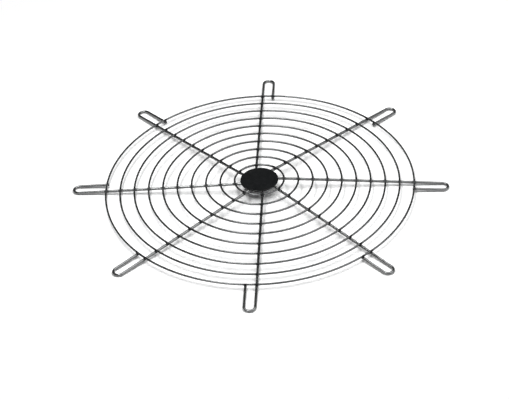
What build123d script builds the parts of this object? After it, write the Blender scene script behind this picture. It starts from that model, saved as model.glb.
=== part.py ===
from build123d import *

import math
import os

# Wire fan guard: ten rings welded on eight sloping spokes, each with a screw loop, and a hub disc.
# All lengths are in millimetres and all angles in degrees. The guard lies on the tips of its
# screw loops at z = 0, with its axis on Z and the domed side up. Seen from above, each spoke
# stands a little to the anticlockwise side of its radial line and its loop returns clockwise.

# Grille: every radius is measured to the middle of the wire
ring_count = 10
ring_pitch = 14.0
ring_wire = 2.0

# Spokes and their screw loops
spoke_count = 8
spoke_wire = 2.8
spoke_side_step = 4.0
spoke_start = 8.0
cone_angle = 3.1
loop_slot_width = 7.7
loop_reach = 32.5
leg_overrun = 1.6
wire_end_round = 0.35

# Hub disc
hub_diameter = 37.0
hub_thickness = 1.2
hub_edge_round = 0.4
hub_to_ring_gap = 4.5

# How far the wires sink into each other, and the disc into the wires, where they are welded
ring_set_down = 0.2
hub_set_down = 0.1

# Places that follow from the sizes above
hub_radius = hub_diameter / 2
slope = math.tan(math.radians(cone_angle))
slant = math.cos(math.radians(cone_angle))
first_ring_radius = hub_radius + hub_to_ring_gap + ring_wire / 2
ring_radii = [first_ring_radius + ring_pitch * index for index in range(ring_count)]
outer_ring_radius = ring_radii[-1]
tip_radius = outer_ring_radius + loop_reach
bend_radius = (loop_slot_width + spoke_wire) / 2
leg_side_step = spoke_side_step - 2 * bend_radius

# Stations along the sloping wire, counted from the guard's middle
run_start = spoke_start / slant
bend_start = tip_radius / slant - bend_radius
leg_end = math.sqrt(outer_ring_radius**2 - leg_side_step**2) / slant - leg_overrun

# The spokes lie in a cone, and the rings and the disc lie on top of them
wire_apex_height = spoke_wire / 2 + tip_radius * slope
ring_lift = (ring_wire / 2 + spoke_wire / 2 - ring_set_down) / slant
hub_seat_radius = (spoke_start + hub_radius) / 2
hub_dish_radius = hub_seat_radius / slope


def spoke_height(reach):
    """Return the height of a spoke's wire centre at a distance from the guard's middle."""
    return wire_apex_height - reach * slope


def spoke_plane(bearing):
    """Return the sloping plane of one spoke and its loop, with x running out along the spoke."""
    turn = math.radians(bearing)
    tilt = math.radians(cone_angle)
    outward = (math.cos(turn) * math.cos(tilt), math.sin(turn) * math.cos(tilt), -math.sin(tilt))
    upward = (math.cos(turn) * math.sin(tilt), math.sin(turn) * math.sin(tilt), math.cos(tilt))
    return Plane(origin=(0, 0, wire_apex_height), x_dir=outward, z_dir=upward)


def export_piece(piece, label):
    """Label a finished piece and write its STEP file."""
    piece.part.label = label
    export_step(piece.part, f"parts/{label}.step")


os.makedirs("parts", exist_ok=True)

# Hub disc: sheet dished to the slope of the spokes, its underside seated on their inner ends
hub_seat_height = spoke_height(hub_seat_radius) + spoke_wire / 2 / slant - hub_set_down
dish_centre_height = hub_seat_height - math.sqrt(hub_dish_radius**2 - hub_seat_radius**2)
underside_rim = dish_centre_height + math.sqrt(hub_dish_radius**2 - hub_radius**2)
crown_radius = hub_dish_radius + hub_thickness
crown_rim = dish_centre_height + math.sqrt(crown_radius**2 - hub_radius**2)

with BuildPart() as hub_disc:
    with BuildSketch(Plane.XZ):
        with BuildLine():
            underside = RadiusArc(
                (0, dish_centre_height + hub_dish_radius), (hub_radius, underside_rim), hub_dish_radius
            )
            rim = Line(underside @ 1, (hub_radius, crown_rim))
            crown = RadiusArc(rim @ 1, (0, dish_centre_height + crown_radius), -crown_radius)
            Line(crown @ 1, underside @ 0)
        make_face()
    revolve(axis=Axis.Z)
    rim_face = hub_disc.faces().filter_by(GeomType.CYLINDER)[0]
    fillet(rim_face.edges().filter_by(GeomType.CIRCLE).sort_by(Axis.Z)[-1], hub_edge_round)
export_piece(hub_disc, "hub_disc")

# Rings: closed hoops of round wire, stepping down the cone from the hub outwards
rings = []
for index, radius in enumerate(ring_radii, start=1):
    with BuildPart() as ring:
        with BuildSketch(Plane.XZ):
            with Locations((radius, spoke_height(radius) + ring_lift)):
                Circle(ring_wire / 2)
        revolve(axis=Axis.Z)
    export_piece(ring, f"ring_{index:02d}")
    rings.append(ring.part)

# Spokes: one wire runs out under the rings, round the loop and back to the outer ring
for index in range(spoke_count):
    plane = spoke_plane(360 / spoke_count * index)
    with BuildPart() as spoke:
        with BuildLine(plane) as route:
            run = Line((run_start, spoke_side_step), (bend_start, spoke_side_step))
            bend = TangentArc(run @ 1, (bend_start, leg_side_step), tangent=run % 1)
            Line(bend @ 1, (leg_end, leg_side_step))
        with BuildSketch(Plane(origin=run @ 0, z_dir=run % 0)):
            Circle(spoke_wire / 2)
        sweep(path=route.wires()[0])
        cut_ends = spoke.faces().filter_by(GeomType.PLANE)
        fillet(cut_ends.edges(), wire_end_round)
        # Welding presses each ring, and the disc, a little way into the wire below it
        add(rings, mode=Mode.SUBTRACT)
        add(hub_disc.part, mode=Mode.SUBTRACT)
    export_piece(spoke, f"spoke_{index + 1}")
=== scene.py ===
"""Looks of a welded wire fan guard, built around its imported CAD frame.

Ten rings of round wire lie on eight sloping spokes. Each spoke ends in a screw loop, and a black
enamelled disc covers the hub. Every length below is in metres, in the CAD model's own frame.
"""

import logging
import math
from abc import ABC, abstractmethod
from dataclasses import dataclass
from enum import Enum

import bmesh
import bpy
from mathutils import Matrix, Vector


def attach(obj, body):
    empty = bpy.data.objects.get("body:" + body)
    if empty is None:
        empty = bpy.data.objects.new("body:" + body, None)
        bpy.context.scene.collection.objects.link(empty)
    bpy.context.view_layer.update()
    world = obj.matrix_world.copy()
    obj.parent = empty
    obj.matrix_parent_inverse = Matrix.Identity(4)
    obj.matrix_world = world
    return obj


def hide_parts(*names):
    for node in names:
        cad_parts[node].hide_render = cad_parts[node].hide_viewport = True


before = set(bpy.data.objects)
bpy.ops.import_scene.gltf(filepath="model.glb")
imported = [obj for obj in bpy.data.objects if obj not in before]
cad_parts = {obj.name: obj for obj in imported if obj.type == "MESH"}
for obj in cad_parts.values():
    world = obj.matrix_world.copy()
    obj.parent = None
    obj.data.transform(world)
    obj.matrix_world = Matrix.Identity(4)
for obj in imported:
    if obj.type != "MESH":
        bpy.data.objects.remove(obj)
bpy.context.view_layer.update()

MM = 0.001
BODY = "root"
LOG = logging.getLogger("fan_guard")

# Attributes on the meshes: place on the wire, share of its full radius, and a spoke's bearing
GRAIN = "wire_grain"
SHARE = "wire_share"
BEARING = "spoke_bearing"

# A noise texture's values lie mostly between these two
NOISE_LOW, NOISE_HIGH = 0.3, 0.7

SocketValue = bpy.types.NodeSocket | float | int | str | tuple


class Slot(Enum):
    """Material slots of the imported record."""

    RING_WIRE = "ring_wire"
    SPOKE_WIRE = "spoke_wire"
    HUB_ENAMEL = "hub_enamel"


class Size(Enum):
    """Kinds of named input that a shape's node tree takes."""

    LENGTH = "NodeSocketFloat"
    COUNT = "NodeSocketInt"
    VECTOR = "NodeSocketVector"
    FINISH = "NodeSocketMaterial"


def linear_colour(code: str) -> tuple[float, float, float, float]:
    """Turn an sRGB hex colour into the linear colour that shaders take.

    Args:
        code: The colour as "#rrggbb".

    Returns:
        Linear red, green and blue, and an alpha of 1.
    """
    channels = [int(code[place : place + 2], 16) / 255 for place in (1, 3, 5)]
    linear = [c / 12.92 if c <= 0.04045 else ((c + 0.055) / 1.055) ** 2.4 for c in channels]
    return (*linear, 1.0)


def cad_nodes(start: str) -> list[str]:
    """List the frame's CAD nodes whose names start with a word."""
    return sorted(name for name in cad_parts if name.startswith(start))


def add_node(
    tree: bpy.types.NodeTree,
    kind: str,
    inputs: dict[str | int, SocketValue] | None = None,
    **settings: object,
) -> bpy.types.Node:
    """Add one node to a tree, with its settings, its input values and its links.

    Args:
        tree: The shader or geometry tree that takes the node.
        kind: Blender's type name of the node.
        inputs: Names or numbers of input sockets, each with a value or the socket that feeds it.
        settings: Attributes of the node, such as its operation or data_type.

    Returns:
        The new node.
    """
    node = tree.nodes.new(kind)
    for name, value in settings.items():
        setattr(node, name, value)
    for key, value in (inputs or {}).items():
        if isinstance(key, int):
            socket = node.inputs[key]
        else:
            socket = next(s for s in node.inputs if s.name == key and s.enabled)
        if isinstance(value, bpy.types.NodeSocket):
            tree.links.new(value, socket)
        else:
            socket.default_value = value
    return node


def mesh_piece(
    name: str, shell: bmesh.types.BMesh, finish: bpy.types.Material
) -> bpy.types.Object:
    """Turn a finished bmesh into a mesh object at the origin.

    Args:
        name: The name of the object and its mesh.
        shell: The faces, freed here.
        finish: The material of all faces.

    Returns:
        The object, linked to the scene.
    """
    mesh = bpy.data.meshes.new(name)
    shell.to_mesh(mesh)
    shell.free()
    mesh.materials.append(finish)
    piece = bpy.data.objects.new(name, mesh)
    bpy.context.scene.collection.objects.link(piece)
    return piece


class ShapeTree:
    """A Geometry Nodes tree whose sizes are named inputs."""

    def __init__(self, name: str, sizes: dict[str, tuple[Size, object]]) -> None:
        """Start an empty tree.

        Args:
            name: The tree's name.
            sizes: Each named input with its kind and its value.
        """
        self.nodes = bpy.data.node_groups.new(name, "GeometryNodeTree")
        self.nodes.is_modifier = True
        sides = self.nodes.interface
        sides.new_socket("Geometry", in_out="INPUT", socket_type="NodeSocketGeometry")
        self.values = {}
        for label, (kind, value) in sizes.items():
            socket = sides.new_socket(label, in_out="INPUT", socket_type=kind.value)
            self.values[socket.identifier] = value
        sides.new_socket("Geometry", in_out="OUTPUT", socket_type="NodeSocketGeometry")
        self.entry = add_node(self.nodes, "NodeGroupInput")

    def size(self, label: str) -> bpy.types.NodeSocket:
        """Return the socket that carries a named input."""
        return self.entry.outputs[label]

    def add(
        self, kind: str, inputs: dict[str | int, SocketValue] | None = None, **settings: object
    ) -> bpy.types.NodeSocket:
        """Add a node as add_node does.

        Args:
            kind: Blender's type name of the node.
            inputs: Names or numbers of input sockets with their values.
            settings: Attributes of the node.

        Returns:
            The node's first output that is in use.
        """
        node = add_node(self.nodes, kind, inputs, **settings)
        return next(s for s in node.outputs if s.enabled)

    def bearings(self) -> bpy.types.NodeSocket:
        """Give each point its share of a full turn, by its number among the spokes.

        Returns:
            The bearing of each point's spoke.
        """
        sector = self.add(
            "ShaderNodeMath", {0: math.tau, 1: self.size("Spoke Count")}, operation="DIVIDE"
        )
        index = self.add("GeometryNodeInputIndex")
        return self.add("ShaderNodeMath", {0: index, 1: sector}, operation="MULTIPLY")

    def hub_points(self) -> bpy.types.NodeSocket:
        """Return as many points as spokes, all on the guard's axis."""
        return self.add(
            "GeometryNodeMeshLine", {"Count": self.size("Spoke Count"), "Offset": (0, 0, 0)}
        )

    def close(self, shape: bpy.types.NodeSocket) -> None:
        """End the tree in real, smooth geometry that carries the material of its Finish input.

        Args:
            shape: The geometry to put out, instances among it.
        """
        real = self.add("GeometryNodeRealizeInstances", {"Geometry": shape})
        smooth = self.add("GeometryNodeSetShadeSmooth", {"Geometry": real})
        dressed = self.add(
            "GeometryNodeSetMaterial", {"Geometry": smooth, "Material": self.size("Finish")}
        )
        add_node(self.nodes, "NodeGroupOutput", {"Geometry": dressed})

    def make_piece(self, name: str, seed_mesh: bpy.types.Mesh | None = None) -> bpy.types.Object:
        """Run the tree and keep its result as a plain mesh object at the origin.

        Args:
            name: The piece's name.
            seed_mesh: Mesh that the tree starts from, where it follows a path.

        Returns:
            The finished piece, with no modifier on it.
        """
        piece = bpy.data.objects.new(name, seed_mesh or bpy.data.meshes.new(name))
        bpy.context.scene.collection.objects.link(piece)
        modifier = piece.modifiers.new("shape", "NODES")
        modifier.node_group = self.nodes
        for identifier, value in self.values.items():
            modifier[identifier] = value
        graph = bpy.context.evaluated_depsgraph_get()
        mesh = bpy.data.meshes.new_from_object(piece.evaluated_get(graph), depsgraph=graph)
        piece.modifiers.remove(modifier)
        piece.data = mesh
        mesh.name = name
        return piece


@dataclass(frozen=True)
class GuardForm:
    """Sizes that the guard's pieces share, as its CAD source has them."""

    ring_count: int = 10
    ring_pitch: float = 14.0 * MM
    ring_wire: float = 2.0 * MM
    first_ring_radius: float = 24.0 * MM
    spoke_count: int = 8
    spoke_wire: float = 2.8 * MM
    spoke_side_step: float = 4.0 * MM
    spoke_start: float = 8.0 * MM
    cone_angle: float = math.radians(3.1)
    loop_reach: float = 32.5 * MM
    loop_slot: float = 7.7 * MM
    ring_set_down: float = 0.2 * MM

    @property
    def outer_ring_radius(self) -> float:
        """Radius of the outermost ring's wire centre."""
        return self.first_ring_radius + self.ring_pitch * (self.ring_count - 1)

    @property
    def tip_radius(self) -> float:
        """Distance from the guard's axis to a loop tip's wire centre."""
        return self.outer_ring_radius + self.loop_reach

    @property
    def bend_radius(self) -> float:
        """Radius of a loop's bend at the wire's middle."""
        return (self.loop_slot + self.spoke_wire) / 2

    @property
    def leg_side_step(self) -> float:
        """Side step of the leg that returns from a loop to the outer ring."""
        return self.spoke_side_step - 2 * self.bend_radius

    @property
    def slope(self) -> float:
        """Fall of the cone for each unit of radius."""
        return math.tan(self.cone_angle)

    @property
    def slant(self) -> float:
        """Level length of one unit along the cone."""
        return math.cos(self.cone_angle)

    @property
    def apex_height(self) -> float:
        """Height at which the spokes' centre lines would meet the guard's axis."""
        return self.spoke_wire / 2 + self.tip_radius * self.slope

    @property
    def ring_lift(self) -> float:
        """Height of a ring's wire centre above the spoke's wire centre below it."""
        return (self.ring_wire / 2 + self.spoke_wire / 2 - self.ring_set_down) / self.slant


def weld_distance(tree: bpy.types.NodeTree, form: GuardForm) -> bpy.types.NodeSocket:
    """Measure how far a point of the surface lies from the nearest weld, seen from above.

    Every sector between two spokes is folded onto the first one, so that one ring crossing and
    one leg end stand for all.

    Args:
        tree: The shader tree that takes the nodes.
        form: The guard's sizes.

    Returns:
        The distance in metres, worked out from Object coordinates.
    """
    place = add_node(tree, "ShaderNodeTexCoord").outputs["Object"]
    flat = add_node(
        tree, "ShaderNodeVectorMath", {0: place, 1: (1.0, 1.0, 0.0)}, operation="MULTIPLY"
    ).outputs[0]
    parts = add_node(tree, "ShaderNodeSeparateXYZ", {0: flat}).outputs
    length = add_node(tree, "ShaderNodeVectorMath", {0: flat}, operation="LENGTH")
    reach = length.outputs["Value"]
    bearing = add_node(
        tree, "ShaderNodeMath", {0: parts["Y"], 1: parts["X"]}, operation="ARCTAN2"
    )
    half_sector = math.pi / form.spoke_count
    folded = add_node(
        tree,
        "ShaderNodeMath",
        {0: bearing.outputs[0], 1: half_sector, 2: -half_sector},
        operation="WRAP",
    )
    sine = add_node(tree, "ShaderNodeMath", {0: folded.outputs[0]}, operation="SINE")
    aside = add_node(
        tree, "ShaderNodeMath", {0: reach, 1: sine.outputs[0]}, operation="MULTIPLY"
    )
    pitches = add_node(
        tree,
        "ShaderNodeMath",
        {0: reach, 1: 1 / form.ring_pitch, 2: -form.first_ring_radius / form.ring_pitch},
        operation="MULTIPLY_ADD",
    )
    number = add_node(tree, "ShaderNodeMath", {0: pitches.outputs[0]}, operation="ROUND")
    number = add_node(
        tree, "ShaderNodeClamp", {"Value": number.outputs[0], "Max": form.ring_count - 1.0}
    )
    ring = add_node(
        tree,
        "ShaderNodeMath",
        {0: number.outputs[0], 1: form.ring_pitch, 2: form.first_ring_radius},
        operation="MULTIPLY_ADD",
    )
    spot = add_node(tree, "ShaderNodeCombineXYZ", {"X": reach, "Y": aside.outputs[0]})
    crossing = add_node(
        tree, "ShaderNodeCombineXYZ", {"X": ring.outputs[0], "Y": form.spoke_side_step}
    )
    to_crossing = add_node(
        tree,
        "ShaderNodeVectorMath",
        {0: spot.outputs[0], 1: crossing.outputs[0]},
        operation="DISTANCE",
    )
    to_leg = add_node(
        tree,
        "ShaderNodeVectorMath",
        {0: spot.outputs[0], 1: (form.outer_ring_radius, form.leg_side_step, 0.0)},
        operation="DISTANCE",
    )
    nearest = add_node(
        tree,
        "ShaderNodeMath",
        {0: to_crossing.outputs["Value"], 1: to_leg.outputs["Value"]},
        operation="MINIMUM",
    )
    return nearest.outputs[0]


class Finish(ABC):
    """A surface finish: a named node material, made from the finish's own sizes."""

    name: str

    @abstractmethod
    def surface(self, tree: bpy.types.NodeTree) -> bpy.types.NodeSocket:
        """Shade the surface in an empty tree and return its shader."""

    def material(self) -> bpy.types.Material:
        """Build the finish's node material.

        Returns:
            The material.
        """
        made = bpy.data.materials.new(self.name)
        made.use_nodes = True
        tree = made.node_tree
        tree.nodes.clear()
        add_node(tree, "ShaderNodeOutputMaterial", {"Surface": self.surface(tree)})
        return made


@dataclass(frozen=True)
class ZincPlatedWire(Finish):
    """Drawn steel wire, zinc plated and welded.

    To the eye it is a mid-grey metal with soft highlights along the wire, slightly cloudy where
    the plate is thicker, with long faint lines left by the drawing die. Round each weld the plate
    is painted darker and duller, as painted shade where the crossing wires shade each other.
    """

    name: str
    form: GuardForm
    plate: str
    thin_plate: str
    # Colour, dullness and reach of the painted shade round each weld, where the crossing wires
    # shade each other
    weld_shade_colour: str = "#2b2c2d"
    roughness: tuple[float, float] = (0.18, 0.3)
    weld_shade_roughness: float = 0.55
    weld_shade_reach: tuple[float, float] = (1.6 * MM, 3.6 * MM)
    weld_shade_fray: float = 1.2 * MM
    cloud: float = 9.0 * MM
    cloud_detail: float = 2.0
    shade_edge_noise: float = 1.5 * MM
    shade_edge_detail: float = 2.0
    die_line: float = 0.35 * MM
    die_line_run: float = 40.0 * MM
    die_line_detail: float = 3.0
    die_line_contrast: float = 0.6
    relief: float = 0.02 * MM
    relief_strength: float = 0.4

    def surface(self, tree: bpy.types.NodeTree) -> bpy.types.NodeSocket:
        """Shade the plated wire.

        Args:
            tree: The finish's empty tree.

        Returns:
            The shader, which reads the piece's wire_grain attribute and Object coordinates.
        """
        place = add_node(tree, "ShaderNodeTexCoord").outputs["Object"]
        clouds = add_node(
            tree,
            "ShaderNodeTexNoise",
            {"Vector": place, "Scale": 1 / self.cloud, "Detail": self.cloud_detail},
        )
        painted_weld_shade = self.painted_weld_shade(tree, place)
        sound = add_node(
            tree,
            "ShaderNodeMix",
            {
                "Factor": clouds.outputs[0],
                "A": linear_colour(self.thin_plate),
                "B": linear_colour(self.plate),
            },
            data_type="RGBA",
        )
        # Painted shade darkens the plate round each weld
        colour = add_node(
            tree,
            "ShaderNodeMix",
            {"Factor": painted_weld_shade, "A": sound.outputs["Result"], "B": linear_colour(self.weld_shade_colour)},
            data_type="RGBA",
        )
        lines = self.die_lines(tree)
        gloss = add_node(
            tree,
            "ShaderNodeMapRange",
            {
                "Value": lines,
                "From Min": NOISE_LOW,
                "From Max": NOISE_HIGH,
                "To Min": self.roughness[0],
                "To Max": self.roughness[1],
            },
        )
        gloss = add_node(
            tree,
            "ShaderNodeMix",
            {"Factor": painted_weld_shade, "A": gloss.outputs["Result"], "B": self.weld_shade_roughness},
        )
        relief = add_node(
            tree,
            "ShaderNodeBump",
            {"Height": lines, "Strength": self.relief_strength, "Distance": self.relief},
        )
        shader = add_node(
            tree,
            "ShaderNodeBsdfPrincipled",
            {
                "Base Color": colour.outputs["Result"],
                "Metallic": 1.0,
                "Roughness": gloss.outputs["Result"],
                "Normal": relief.outputs["Normal"],
            },
        )
        return shader.outputs[0]

    def die_lines(self, tree: bpy.types.NodeTree) -> bpy.types.NodeSocket:
        """Draw long lines along the wire, wider than their real 0.05 mm, which would not show.

        Args:
            tree: The finish's tree.

        Returns:
            Noise that is narrow round the wire and long along it.
        """
        grain = add_node(tree, "ShaderNodeAttribute", attribute_name=GRAIN)
        stretch = add_node(
            tree,
            "ShaderNodeVectorMath",
            {
                0: grain.outputs["Vector"],
                1: (1 / self.die_line, 1 / self.die_line, 1 / self.die_line_run),
            },
            operation="MULTIPLY",
        )
        lines = add_node(
            tree,
            "ShaderNodeTexNoise",
            {
                "Vector": stretch.outputs[0],
                "Scale": 1.0,
                "Detail": self.die_line_detail,
                "Roughness": self.die_line_contrast,
            },
        )
        return lines.outputs[0]

    def painted_weld_shade(
        self, tree: bpy.types.NodeTree, place: bpy.types.NodeSocket
    ) -> bpy.types.NodeSocket:
        """Paint the shade round each weld, as a share of darker and duller plate.

        Args:
            tree: The finish's tree.
            place: Object coordinates.

        Returns:
            The share of painted weld shade, from 1 at a weld to 0 on plain plate, with a frayed
            edge.
        """
        shade_edge_noise = add_node(
            tree,
            "ShaderNodeTexNoise",
            {"Vector": place, "Scale": 1 / self.shade_edge_noise, "Detail": self.shade_edge_detail},
        )
        frayed = add_node(
            tree,
            "ShaderNodeMath",
            {0: shade_edge_noise.outputs[0], 1: self.weld_shade_fray, 2: weld_distance(tree, self.form)},
            operation="MULTIPLY_ADD",
        )
        share = add_node(
            tree,
            "ShaderNodeMapRange",
            {
                "Value": frayed.outputs[0],
                "From Min": self.weld_shade_reach[0],
                "From Max": self.weld_shade_reach[1],
                "To Min": 1.0,
                "To Max": 0.0,
            },
            interpolation_type="SMOOTHSTEP",
        )
        return share.outputs["Result"]


@dataclass(frozen=True)
class MottledCoat(Finish):
    """A coat whose colour and gloss follow one noise, its mottle, and its relief another."""

    name: str
    dark: str
    pale: str
    roughness: tuple[float, float]
    mottle: float
    mottle_detail: float
    grain: float
    grain_detail: float
    relief: float
    metallic: float = 0.0
    gloss_level: float = 0.5
    relief_strength: float = 0.5

    def surface(self, tree: bpy.types.NodeTree) -> bpy.types.NodeSocket:
        """Shade the coat.

        Args:
            tree: The finish's empty tree.

        Returns:
            The shader, which reads Object coordinates only.
        """
        place = add_node(tree, "ShaderNodeTexCoord").outputs["Object"]
        mottle = add_node(
            tree,
            "ShaderNodeTexNoise",
            {"Vector": place, "Scale": 1 / self.mottle, "Detail": self.mottle_detail},
        )
        grain = add_node(
            tree,
            "ShaderNodeTexNoise",
            {"Vector": place, "Scale": 1 / self.grain, "Detail": self.grain_detail},
        )
        colour = add_node(
            tree,
            "ShaderNodeMix",
            {
                "Factor": mottle.outputs[0],
                "A": linear_colour(self.dark),
                "B": linear_colour(self.pale),
            },
            data_type="RGBA",
        )
        gloss = add_node(
            tree,
            "ShaderNodeMapRange",
            {
                "Value": mottle.outputs[0],
                "From Min": NOISE_LOW,
                "From Max": NOISE_HIGH,
                "To Min": self.roughness[0],
                "To Max": self.roughness[1],
            },
        )
        relief = add_node(
            tree,
            "ShaderNodeBump",
            {
                "Height": grain.outputs[0],
                "Strength": self.relief_strength,
                "Distance": self.relief,
            },
        )
        shader = add_node(
            tree,
            "ShaderNodeBsdfPrincipled",
            {
                "Base Color": colour.outputs["Result"],
                "Metallic": self.metallic,
                "Roughness": gloss.outputs["Result"],
                "Specular IOR Level": self.gloss_level,
                "Normal": relief.outputs["Normal"],
            },
        )
        return shader.outputs[0]


@dataclass(frozen=True)
class WeldFlash(MottledCoat):
    """Steel squeezed out by resistance welding, painted dark as the shade between the crossing
    wires.

    To the eye it is a low dark collar, duller than the wire and finely pitted.
    """

    name: str = "weld_flash_painted_shade"
    # The collar's dark colours are painted shade between the crossing wires
    dark: str = "#232425"
    pale: str = "#3f4041"
    roughness: tuple[float, float] = (0.6, 0.35)
    # The pits are painted darkest, as painted shade in them, and are the dullest places, so both
    # noises have their size
    mottle: float = 0.45 * MM
    mottle_detail: float = 2.0
    grain: float = 0.45 * MM
    grain_detail: float = 2.0
    relief: float = 0.05 * MM
    relief_strength: float = 0.6
    metallic: float = 1.0


@dataclass(frozen=True)
class BlackStoveEnamel(MottledCoat):
    """Sprayed and baked black enamel on pressed sheet steel.

    To the eye it is a deep satin black with a faint orange peel that breaks up its soft sheen.
    """

    name: str = "black_stove_enamel"
    dark: str = "#121314"
    pale: str = "#1e1f20"
    roughness: tuple[float, float] = (0.16, 0.26)
    # The mottle is a haze of dust, and the grain is the orange peel
    mottle: float = 6.0 * MM
    mottle_detail: float = 4.0
    grain: float = 1.1 * MM
    grain_detail: float = 1.0
    relief: float = 0.03 * MM
    gloss_level: float = 0.21


@dataclass(frozen=True)
class StudioPaper(Finish):
    """Matt white background paper.

    To the eye it is plain white with only the guard's deeper shadows on it, because it is seen a
    little overexposed. Away from the lamps it turns to even white, and from below it isn't seen.
    """

    name: str = "studio_paper"
    paper: str = "#f6f6f6"
    exposure: float = 1.35
    lit_radius: float = 0.2
    even_radius: float = 0.45

    def surface(self, tree: bpy.types.NodeTree) -> bpy.types.NodeSocket:
        """Shade the paper.

        Args:
            tree: The finish's empty tree.

        Returns:
            A white diffuse shader that the camera, metal and glass see a little brighter.
        """
        paper = linear_colour(self.paper)
        exposed = (*[channel * self.exposure for channel in paper[:3]], 1.0)
        plain = add_node(tree, "ShaderNodeBsdfDiffuse", {"Color": paper})
        near = add_node(tree, "ShaderNodeBsdfDiffuse", {"Color": exposed})
        white = add_node(tree, "ShaderNodeEmission", {"Strength": 1.0})
        place = add_node(tree, "ShaderNodeTexCoord").outputs["Object"]
        reach = add_node(tree, "ShaderNodeVectorMath", {0: place}, operation="LENGTH")
        away = add_node(
            tree,
            "ShaderNodeMapRange",
            {
                "Value": reach.outputs["Value"],
                "From Min": self.lit_radius,
                "From Max": self.even_radius,
            },
            interpolation_type="SMOOTHSTEP",
        )
        shown = add_node(
            tree,
            "ShaderNodeMixShader",
            {0: away.outputs["Result"], 1: near.outputs[0], 2: white.outputs[0]},
        )
        path = add_node(tree, "ShaderNodeLightPath")
        seen = path.outputs["Is Camera Ray"]
        for ray in ("Is Glossy Ray", "Is Transmission Ray"):
            seen = add_node(
                tree, "ShaderNodeMath", {0: seen, 1: path.outputs[ray]}, operation="MAXIMUM"
            ).outputs[0]
        top = add_node(
            tree, "ShaderNodeMixShader", {0: seen, 1: plain.outputs[0], 2: shown.outputs[0]}
        )
        side = add_node(tree, "ShaderNodeNewGeometry")
        clear = add_node(tree, "ShaderNodeBsdfTransparent")
        both = add_node(
            tree,
            "ShaderNodeMixShader",
            {0: side.outputs["Backfacing"], 1: top.outputs[0], 2: clear.outputs[0]},
        )
        return both.outputs[0]


def sweep_wire(tree: ShapeTree, route: bpy.types.NodeSocket) -> bpy.types.NodeSocket:
    """Sweep a round wire along curves and store the grain that its finish follows.

    Args:
        tree: A tree with the named inputs Wire Radius and Wire Sides.
        route: The curves of the wire's middle.

    Returns:
        The wire's mesh. Its grain holds the place round the wire and the distance along it.
    """
    level = tree.add("GeometryNodeSetCurveNormal", {"Curve": route}, mode="Z_UP")
    along = add_node(
        tree.nodes, "GeometryNodeCaptureAttribute", {"Geometry": level}, domain="POINT"
    )
    along.capture_items.new("FLOAT", "Along")
    ruler = add_node(tree.nodes, "GeometryNodeSplineParameter")
    tree.nodes.links.new(ruler.outputs["Length"], along.inputs["Along"])
    section = tree.add(
        "GeometryNodeCurvePrimitiveCircle",
        {"Resolution": tree.size("Wire Sides"), "Radius": tree.size("Wire Radius")},
    )
    around = add_node(
        tree.nodes, "GeometryNodeCaptureAttribute", {"Geometry": section}, domain="POINT"
    )
    around.capture_items.new("VECTOR", "Around")
    tree.nodes.links.new(tree.add("GeometryNodeInputPosition"), around.inputs["Around"])
    wire = tree.add(
        "GeometryNodeCurveToMesh",
        {
            "Curve": along.outputs["Geometry"],
            "Profile Curve": around.outputs["Geometry"],
            "Fill Caps": True,
        },
    )
    parts = add_node(tree.nodes, "ShaderNodeSeparateXYZ", {0: around.outputs["Around"]})
    grain = tree.add(
        "ShaderNodeCombineXYZ",
        {"X": parts.outputs["X"], "Y": parts.outputs["Y"], "Z": along.outputs["Along"]},
    )
    return tree.add(
        "GeometryNodeStoreNamedAttribute",
        {"Geometry": wire, "Name": GRAIN, "Value": grain},
        data_type="FLOAT_VECTOR",
        domain="POINT",
    )


@dataclass
class RingSet:
    """The ten rings: closed hoops of drawn wire, one above another down the cone."""

    form: GuardForm
    finish: bpy.types.Material
    round_steps: int = 224
    wire_sides: int = 16

    def build(self) -> bpy.types.Object:
        """Make all rings with one tree of nodes.

        Returns:
            The rings as one piece.
        """
        form = self.form
        tree = ShapeTree(
            "ring_hoops",
            {
                "Ring Count": (Size.COUNT, form.ring_count),
                "First Radius": (Size.LENGTH, form.first_ring_radius),
                "Ring Pitch": (Size.LENGTH, form.ring_pitch),
                "Apex Height": (Size.LENGTH, form.apex_height + form.ring_lift),
                "Cone Slope": (Size.LENGTH, form.slope),
                "Wire Radius": (Size.LENGTH, form.ring_wire / 2),
                "Round Steps": (Size.COUNT, self.round_steps),
                "Wire Sides": (Size.COUNT, self.wire_sides),
                "Finish": (Size.FINISH, self.finish),
            },
        )
        index = tree.add("GeometryNodeInputIndex")
        radius = tree.add(
            "ShaderNodeMath",
            {0: index, 1: tree.size("Ring Pitch"), 2: tree.size("First Radius")},
            operation="MULTIPLY_ADD",
        )
        fall = tree.add(
            "ShaderNodeMath", {0: radius, 1: tree.size("Cone Slope")}, operation="MULTIPLY"
        )
        height = tree.add(
            "ShaderNodeMath", {0: tree.size("Apex Height"), 1: fall}, operation="SUBTRACT"
        )
        posts = tree.add("GeometryNodeMeshLine", {"Count": tree.size("Ring Count")})
        posts = tree.add(
            "GeometryNodeSetPosition",
            {"Geometry": posts, "Position": tree.add("ShaderNodeCombineXYZ", {"Z": height})},
        )
        unit_hoop = tree.add(
            "GeometryNodeCurvePrimitiveCircle",
            {"Resolution": tree.size("Round Steps"), "Radius": 1.0},
        )
        growth = tree.add("ShaderNodeCombineXYZ", {"X": radius, "Y": radius, "Z": 1.0})
        hoops = tree.add(
            "GeometryNodeInstanceOnPoints",
            {"Points": posts, "Instance": unit_hoop, "Scale": growth},
        )
        hoops = tree.add("GeometryNodeRealizeInstances", {"Geometry": hoops})
        tree.close(sweep_wire(tree, hoops))
        return tree.make_piece("grille_rings")

    def dress(self, piece: bpy.types.Object) -> None:
        """Give the rings their body and hide their CAD nodes.

        Args:
            piece: The built rings.
        """
        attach(piece, BODY)
        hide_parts(*cad_nodes("ring_"))


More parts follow.
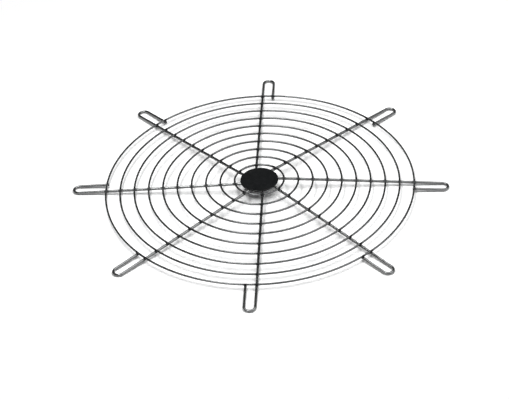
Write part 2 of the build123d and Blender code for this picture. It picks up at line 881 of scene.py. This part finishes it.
@dataclass
class SpokeSet:
    """The eight spokes: thicker wire that runs out under the rings and back in a screw loop."""

    form: GuardForm
    finish: bpy.types.Material
    leg_overrun: float = 1.6 * MM
    end_round: float = 0.35 * MM
    run_steps: int = 28
    bend_steps: int = 24
    leg_steps: int = 6
    round_steps: int = 4
    wire_sides: int = 16

    def cut_end(self) -> list[tuple[float, float]]:
        """Round the edge of a cut wire end.

        Returns:
            Distance from the end and the wire's share of its full radius, from the end inwards.
        """
        points = []
        for step in range(self.round_steps + 1):
            turn = math.pi / 2 * step / self.round_steps
            inset = self.end_round * (1 - math.sin(turn))
            share = 1 - inset / (self.form.spoke_wire / 2)
            points.append((self.end_round * (1 - math.cos(turn)), share))
        return points

    def route(self) -> list[tuple[float, float, float]]:
        """Follow one spoke in the plane of its loop.

        Returns:
            Points as distance outwards, side step and the wire's share of its full radius.
        """
        form = self.form
        run_start = form.spoke_start / form.slant
        bend_start = form.tip_radius / form.slant - form.bend_radius
        reach = math.sqrt(form.outer_ring_radius**2 - form.leg_side_step**2)
        leg_end = reach / form.slant - self.leg_overrun
        cut_end = self.cut_end()
        points = [(run_start + depth, form.spoke_side_step, share) for depth, share in cut_end]
        run_length = bend_start - run_start - self.end_round
        for step in range(1, self.run_steps + 1):
            place = run_start + self.end_round + run_length * step / self.run_steps
            points.append((place, form.spoke_side_step, 1.0))
        middle = (form.spoke_side_step + form.leg_side_step) / 2
        for step in range(1, self.bend_steps + 1):
            turn = math.pi * step / self.bend_steps
            place = bend_start + form.bend_radius * math.sin(turn)
            points.append((place, middle + form.bend_radius * math.cos(turn), 1.0))
        leg_length = bend_start - leg_end - self.end_round
        for step in range(1, self.leg_steps + 1):
            place = bend_start - leg_length * step / self.leg_steps
            points.append((place, form.leg_side_step, 1.0))
        for depth, share in reversed(cut_end[:-1]):
            points.append((leg_end + depth, form.leg_side_step, share))
        return points

    def path_mesh(self) -> bpy.types.Mesh:
        """Lay one spoke's route on the slope, along +X, as a line of edges.

        Returns:
            The line, with the wire's share of its full radius at each point.
        """
        form = self.form
        drop = math.sin(form.cone_angle)
        route = self.route()
        points = [(x * form.slant, y, form.apex_height - x * drop) for x, y, _ in route]
        mesh = bpy.data.meshes.new("spoke_route")
        mesh.from_pydata(points, [(i, i + 1) for i in range(len(points) - 1)], [])
        shares = mesh.attributes.new(SHARE, "FLOAT", "POINT")
        shares.data.foreach_set("value", [share for _, _, share in route])
        return mesh

    def build(self) -> bpy.types.Object:
        """Sweep the wire along its route and set it round the hub.

        Returns:
            All spokes with their loops as one piece.
        """
        form = self.form
        tree = ShapeTree(
            "spoke_loops",
            {
                "Spoke Count": (Size.COUNT, form.spoke_count),
                "Wire Radius": (Size.LENGTH, form.spoke_wire / 2),
                "Wire Sides": (Size.COUNT, self.wire_sides),
                "Finish": (Size.FINISH, self.finish),
            },
        )
        route = tree.add("GeometryNodeMeshToCurve", {"Mesh": tree.entry.outputs["Geometry"]})
        share = tree.add("GeometryNodeInputNamedAttribute", {"Name": SHARE})
        route = tree.add("GeometryNodeSetCurveRadius", {"Curve": route, "Radius": share})
        turned = tree.add(
            "GeometryNodeInstanceOnPoints",
            {
                "Points": tree.hub_points(),
                "Instance": sweep_wire(tree, route),
                "Rotation": tree.add("ShaderNodeCombineXYZ", {"Z": tree.bearings()}),
            },
        )
        tree.close(turned)
        return tree.make_piece("spoke_wires", self.path_mesh())

    def dress(self, piece: bpy.types.Object) -> None:
        """Give the spokes their body and hide their CAD nodes.

        Args:
            piece: The built spokes.
        """
        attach(piece, BODY)
        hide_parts(*cad_nodes("spoke_"))


@dataclass
class WeldSet:
    """The welds: a low collar of squeezed-out metal at each crossing and under each loop's leg."""

    form: GuardForm
    finish: bpy.types.Material
    collar: tuple[float, float, float] = (1.35 * MM, 1.45 * MM, 0.55 * MM)
    spread: float = 0.14
    seed: int = 7
    collar_sides: int = 12
    collar_rings: int = 7

    def build(self) -> bpy.types.Object:
        """Place a collar wherever a ring crosses a spoke or a leg.

        Returns:
            All collars as one piece.
        """
        form = self.form
        seat_height = form.apex_height + (form.spoke_wire - form.ring_set_down) / 2
        tree = ShapeTree(
            "weld_collars",
            {
                "Spoke Count": (Size.COUNT, form.spoke_count),
                "Ring Count": (Size.COUNT, form.ring_count),
                "First Radius": (Size.LENGTH, form.first_ring_radius),
                "Ring Pitch": (Size.LENGTH, form.ring_pitch),
                "Outer Radius": (Size.LENGTH, form.outer_ring_radius),
                "Spoke Side Step": (Size.LENGTH, form.spoke_side_step),
                "Leg Side Step": (Size.LENGTH, form.leg_side_step),
                "Seat Height": (Size.LENGTH, seat_height),
                "Cone Slope": (Size.LENGTH, form.slope),
                "Collar Size": (Size.VECTOR, self.collar),
                "Collar Sides": (Size.COUNT, self.collar_sides),
                "Collar Rings": (Size.COUNT, self.collar_rings),
                "Spread": (Size.LENGTH, self.spread),
                "Seed": (Size.COUNT, self.seed),
                "Finish": (Size.FINISH, self.finish),
            },
        )
        seats = self.weld_seats(tree)
        low = tree.add("ShaderNodeMath", {0: 1.0, 1: tree.size("Spread")}, operation="SUBTRACT")
        high = tree.add("ShaderNodeMath", {0: 1.0, 1: tree.size("Spread")}, operation="ADD")
        growth = tree.add(
            "FunctionNodeRandomValue",
            {"Min": low, "Max": high, "Seed": tree.size("Seed")},
            data_type="FLOAT_VECTOR",
        )
        growth = tree.add(
            "ShaderNodeVectorMath", {0: growth, 1: tree.size("Collar Size")}, operation="MULTIPLY"
        )
        ball = tree.add(
            "GeometryNodeMeshUVSphere",
            {
                "Segments": tree.size("Collar Sides"),
                "Rings": tree.size("Collar Rings"),
                "Radius": 1.0,
            },
        )
        bearing = tree.add("GeometryNodeInputNamedAttribute", {"Name": BEARING})
        collars = tree.add(
            "GeometryNodeInstanceOnPoints",
            {
                "Points": seats,
                "Instance": ball,
                "Rotation": tree.add("ShaderNodeCombineXYZ", {"Z": bearing}),
                "Scale": growth,
            },
        )
        tree.close(collars)
        return tree.make_piece("weld_collars")

    def weld_seats(self, tree: ShapeTree) -> bpy.types.NodeSocket:
        """Put a point at every weld of the guard.

        Args:
            tree: The welds' tree.

        Returns:
            The points, each with the bearing of its spoke.
        """
        crossing_radius = tree.add(
            "ShaderNodeMath",
            {
                0: tree.add("GeometryNodeInputIndex"),
                1: tree.size("Ring Pitch"),
                2: tree.size("First Radius"),
            },
            operation="MULTIPLY_ADD",
        )
        crossings = self.wire_seats(
            tree, tree.size("Ring Count"), crossing_radius, tree.size("Spoke Side Step")
        )
        leg_end = self.wire_seats(tree, 1, tree.size("Outer Radius"), tree.size("Leg Side Step"))
        one_spoke = add_node(tree.nodes, "GeometryNodeJoinGeometry")
        for seats in (leg_end, crossings):
            tree.nodes.links.new(seats, one_spoke.inputs[0])
        bearings = tree.bearings()
        hub = tree.add(
            "GeometryNodeStoreNamedAttribute",
            {"Geometry": tree.hub_points(), "Name": BEARING, "Value": bearings},
            data_type="FLOAT",
            domain="POINT",
        )
        turned = tree.add(
            "GeometryNodeInstanceOnPoints",
            {
                "Points": hub,
                "Instance": one_spoke.outputs[0],
                "Rotation": tree.add("ShaderNodeCombineXYZ", {"Z": bearings}),
            },
        )
        return tree.add("GeometryNodeRealizeInstances", {"Geometry": turned})

    def wire_seats(
        self,
        tree: ShapeTree,
        count: bpy.types.NodeSocket | int,
        radius: bpy.types.NodeSocket,
        side_step: bpy.types.NodeSocket,
    ) -> bpy.types.NodeSocket:
        """Put points where rings cross a straight wire that runs out along +X.

        Args:
            tree: The welds' tree.
            count: How many rings are crossed.
            radius: Radius of the ring at each point.
            side_step: How far the wire stands to the side of its radial line.

        Returns:
            The points, on top of the wire.
        """
        squared = tree.add("ShaderNodeMath", {0: radius, 1: radius}, operation="MULTIPLY")
        aside = tree.add("ShaderNodeMath", {0: side_step, 1: side_step}, operation="MULTIPLY")
        reach = tree.add("ShaderNodeMath", {0: squared, 1: aside}, operation="SUBTRACT")
        reach = tree.add("ShaderNodeMath", {0: reach}, operation="SQRT")
        fall = tree.add(
            "ShaderNodeMath", {0: radius, 1: tree.size("Cone Slope")}, operation="MULTIPLY"
        )
        height = tree.add(
            "ShaderNodeMath", {0: tree.size("Seat Height"), 1: fall}, operation="SUBTRACT"
        )
        seat = tree.add("ShaderNodeCombineXYZ", {"X": reach, "Y": side_step, "Z": height})
        line = tree.add("GeometryNodeMeshLine", {"Count": count})
        return tree.add("GeometryNodeSetPosition", {"Geometry": line, "Position": seat})

    def dress(self, piece: bpy.types.Object) -> None:
        """Give the welds their body."""
        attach(piece, BODY)


@dataclass
class HubDisc:
    """The hub disc: thin sheet dished to the slope of the spokes, its upper rim rounded."""

    form: GuardForm
    finish: bpy.types.Material
    radius: float = 18.5 * MM
    thickness: float = 1.2 * MM
    edge_round: float = 0.4 * MM
    set_down: float = 0.1 * MM
    rim_band: float = 0.09 * MM
    round_steps: int = 128
    crown_steps: int = 14
    edge_steps: int = 6

    def profile(self) -> list[tuple[float, float]]:
        """Trace half of the disc's section.

        Returns:
            Radius and height of each point, from the top middle round the rim to the underside.
        """
        form = self.form
        seat_radius = (form.spoke_start + self.radius) / 2
        seat_height = form.apex_height - seat_radius * form.slope - self.set_down
        seat_height += form.spoke_wire / 2 / form.slant
        dish = seat_radius / form.slope
        centre = seat_height - math.sqrt(dish**2 - seat_radius**2)
        crown = dish + self.thickness
        edge_start = self.radius - self.edge_round
        points = []
        for step in range(self.crown_steps + 1):
            reach = edge_start * step / self.crown_steps
            points.append((reach, centre + math.sqrt(crown**2 - reach**2)))
        top = points[-1][1]
        for step in range(1, self.edge_steps + 1):
            turn = math.pi / 2 * step / self.edge_steps
            out = edge_start + self.edge_round * math.sin(turn)
            points.append((out, top - self.edge_round * (1 - math.cos(turn))))
        points.append((self.radius, centre + math.sqrt(dish**2 - self.radius**2)))
        # A narrow band beside the lower rim keeps its shading crisp
        for step in reversed(range(self.crown_steps + 1)):
            reach = (self.radius - self.rim_band) * step / self.crown_steps
            points.append((reach, centre + math.sqrt(dish**2 - reach**2)))
        return points

    def build(self) -> bpy.types.Object:
        """Turn the section round the guard's axis.

        Returns:
            The disc as one closed piece.
        """
        shell = bmesh.new()
        middle_top, *section, middle_bottom = self.profile()
        turns = [math.tau * step / self.round_steps for step in range(self.round_steps)]
        hoops = []
        for reach, height in section:
            places = [(reach * math.cos(turn), reach * math.sin(turn), height) for turn in turns]
            hoops.append([shell.verts.new(place) for place in places])
        crown = shell.verts.new((0.0, 0.0, middle_top[1]))
        hollow = shell.verts.new((0.0, 0.0, middle_bottom[1]))
        for step in range(self.round_steps):
            after = (step + 1) % self.round_steps
            shell.faces.new((crown, hoops[0][step], hoops[0][after]))
            for upper, lower in zip(hoops, hoops[1:]):
                shell.faces.new((upper[step], lower[step], lower[after], upper[after]))
            shell.faces.new((hoops[-1][step], hollow, hoops[-1][after]))
        bmesh.ops.recalc_face_normals(shell, faces=shell.faces)
        for face in shell.faces:
            face.smooth = True
        return mesh_piece("hub_disc_enamelled", shell, self.finish)

    def dress(self, piece: bpy.types.Object) -> None:
        """Give the disc its body and hide its CAD node.

        Args:
            piece: The built disc.
        """
        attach(piece, BODY)
        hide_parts("hub_disc")


@dataclass(frozen=True)
class Softbox:
    """One flat studio light that faces the guard."""

    name: str
    place: tuple[float, float, float]
    size: tuple[float, float]
    radiance: float

    def build(self) -> None:
        """Hang the light with its first side level along X and its face to the guard."""
        lamp = bpy.data.lights.new(self.name, "AREA")
        lamp.shape = "RECTANGLE"
        lamp.size, lamp.size_y = self.size
        # A flat lamp's power is its radiance times its area and pi
        lamp.energy = self.radiance * math.pi * self.size[0] * self.size[1]
        away = Vector(self.place).normalized()
        side = Vector((1.0, 0.0, 0.0))
        side = (side - side.project(away)).normalized()
        basis = Matrix((side, away.cross(side), away)).transposed().to_4x4()
        box = bpy.data.objects.new(self.name, lamp)
        box.matrix_world = Matrix.Translation(self.place) @ basis
        box.visible_camera = False
        bpy.context.scene.collection.objects.link(box)


@dataclass
class Studio:
    """White paper floor, two softboxes overhead, and a dim room with a pale horizon."""

    paper: bpy.types.Material
    floor_radius: float = 12.0
    floor_sides: int = 96
    lights: tuple[Softbox, ...] = (
        Softbox("key_box", place=(-0.26, 0.0, 1.1), size=(0.2, 1.0), radiance=8.6),
        Softbox("overhead_strip", place=(0.35, 0.0, 1.1), size=(1.6, 1.0), radiance=2.6),
    )
    horizon: str = "#ffffff"
    horizon_top: float = math.radians(8.0)
    ceiling: str = "#3c3d3e"
    ceiling_start: float = math.radians(20.0)

    def build_floor(self) -> None:
        """Lay a round sheet of paper under the guard."""
        sheet = bmesh.new()
        bmesh.ops.create_circle(
            sheet, cap_ends=True, radius=self.floor_radius, segments=self.floor_sides
        )
        mesh_piece("paper_floor", sheet, self.paper)

    def build_world(self) -> None:
        """Shade the room from a pale horizon to a dim ceiling."""
        world = bpy.data.worlds.new("studio_room")
        world.use_nodes = True
        tree = world.node_tree
        tree.nodes.clear()
        way = add_node(tree, "ShaderNodeTexCoord")
        parts = add_node(tree, "ShaderNodeSeparateXYZ", {0: way.outputs["Generated"]})
        rise = add_node(
            tree,
            "ShaderNodeMapRange",
            {
                "Value": parts.outputs["Z"],
                "From Min": math.sin(self.horizon_top),
                "From Max": math.sin(self.ceiling_start),
            },
            interpolation_type="SMOOTHSTEP",
        )
        shade = add_node(
            tree,
            "ShaderNodeMix",
            {
                "Factor": rise.outputs["Result"],
                "A": linear_colour(self.horizon),
                "B": linear_colour(self.ceiling),
            },
            data_type="RGBA",
        )
        room = add_node(
            tree, "ShaderNodeBackground", {"Color": shade.outputs["Result"], "Strength": 1.0}
        )
        add_node(tree, "ShaderNodeOutputWorld", {"Surface": room.outputs[0]})
        bpy.context.scene.world = world

    def build(self) -> None:
        """Set up the floor, the room and the lights."""
        self.build_floor()
        self.build_world()
        for light in self.lights:
            light.build()


@dataclass
class StudioCamera:
    """Camera at the photograph's viewing angle, in a long lens."""

    elevation: float = math.radians(37.749)
    bearing: float = math.radians(-5.118)
    roll: float = math.radians(-3.905)
    lens: float = 155.6
    sensor_width: float = 36.0
    hub_offset: tuple[float, float, float] = (5.305 * MM, -10.217 * MM, 2142.8 * MM)
    sight: tuple[float, float] = (0.05, 50.0)

    def build(self) -> None:
        """Place the camera so that the hub has its offset from the lens: right, down, ahead."""
        sine, cosine = math.sin(self.elevation), math.cos(self.elevation)
        level = Matrix(((1, 0, 0), (0, -sine, -cosine), (0, cosine, -sine)))
        turn = Matrix.Rotation(self.roll, 3, "Z") @ level @ Matrix.Rotation(self.bearing, 3, "Z")
        right, down, ahead = turn.row
        basis = Matrix((right, -down, -ahead)).transposed().to_4x4()
        place = -(turn.transposed() @ Vector(self.hub_offset))
        lens = bpy.data.cameras.new("studio_camera")
        lens.lens = self.lens
        lens.sensor_width = self.sensor_width
        lens.clip_start, lens.clip_end = self.sight
        camera = bpy.data.objects.new("studio_camera", lens)
        camera.matrix_world = Matrix.Translation(place) @ basis
        bpy.context.scene.collection.objects.link(camera)
        bpy.context.scene.camera = camera


def report(piece: bpy.types.Object) -> None:
    """Log a finished piece with its face count."""
    LOG.info("%s: %d faces", piece.name, len(piece.data.polygons))


def main() -> None:
    """Build the guard's pieces, then the studio and the camera."""
    logging.basicConfig(level=logging.INFO, format="%(name)s: %(message)s")
    bpy.context.scene.view_settings.view_transform = "Standard"
    form = GuardForm()
    ring_finish = ZincPlatedWire(
        "zinc_plated_ring_wire", form, plate="#6e6f6f", thin_plate="#616263"
    )
    # The spokes carry the rings' zinc plate, painted lighter here as painted light on them
    spoke_finish_painted_lighter = ZincPlatedWire(
        "zinc_plated_spoke_wire_painted_lighter", form, plate="#858686", thin_plate="#767777"
    )
    groups = [
        RingSet(form, ring_finish.material()),
        SpokeSet(form, spoke_finish_painted_lighter.material()),
        WeldSet(form, WeldFlash().material()),
        HubDisc(form, BlackStoveEnamel().material()),
    ]
    for group in groups:
        piece = group.build()
        group.dress(piece)
        report(piece)
    Studio(StudioPaper().material()).build()
    StudioCamera().build()


if __name__ == "__main__":
    main()
